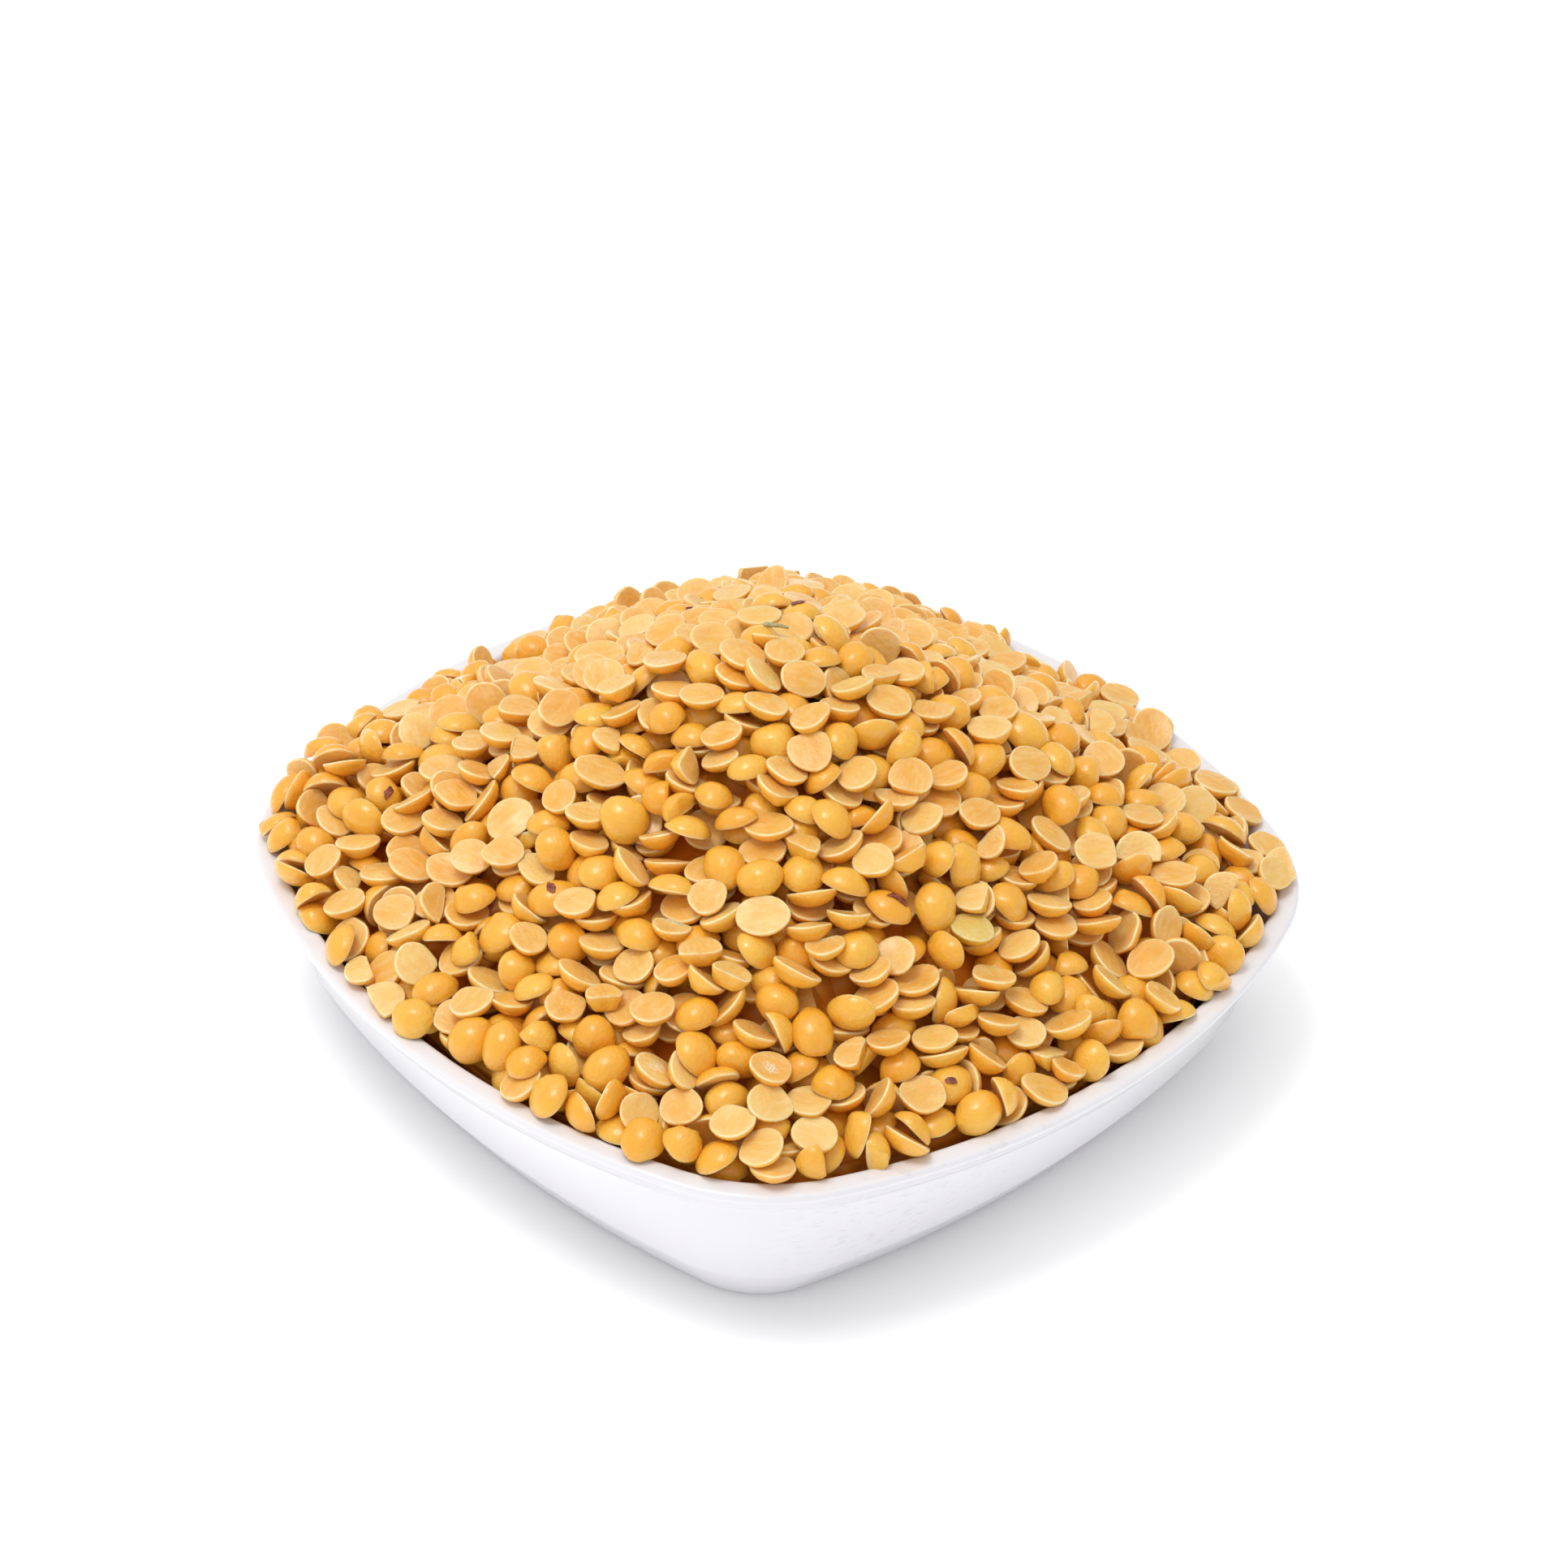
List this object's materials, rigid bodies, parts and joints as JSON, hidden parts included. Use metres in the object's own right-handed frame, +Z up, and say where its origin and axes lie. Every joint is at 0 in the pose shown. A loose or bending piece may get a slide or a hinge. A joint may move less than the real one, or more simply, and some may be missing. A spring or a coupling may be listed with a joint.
{
  "type": "dish of dry lentils",
  "caption": "Small white square dish with bowed sides and round corners, heaped above its rim with dry split yellow lentils",
  "frame": {"origin": "middle of the dish's flat base, on the surface it stands on", "axes": "+Z up; the dish's four sides face +X, -X, +Y and -Y; the corner between +X and -Y is nearest the picture's camera"},
  "size_m": [0.118, 0.118, 0.055],
  "materials": {
    "white_glaze": "glossy white glaze",
    "split_lentil": "satin seed skin"
  },
  "bodies": {
    "root": {"dish": "white_glaze", "lentil_heap": "split_lentil"}
  },
  "joints": []
}
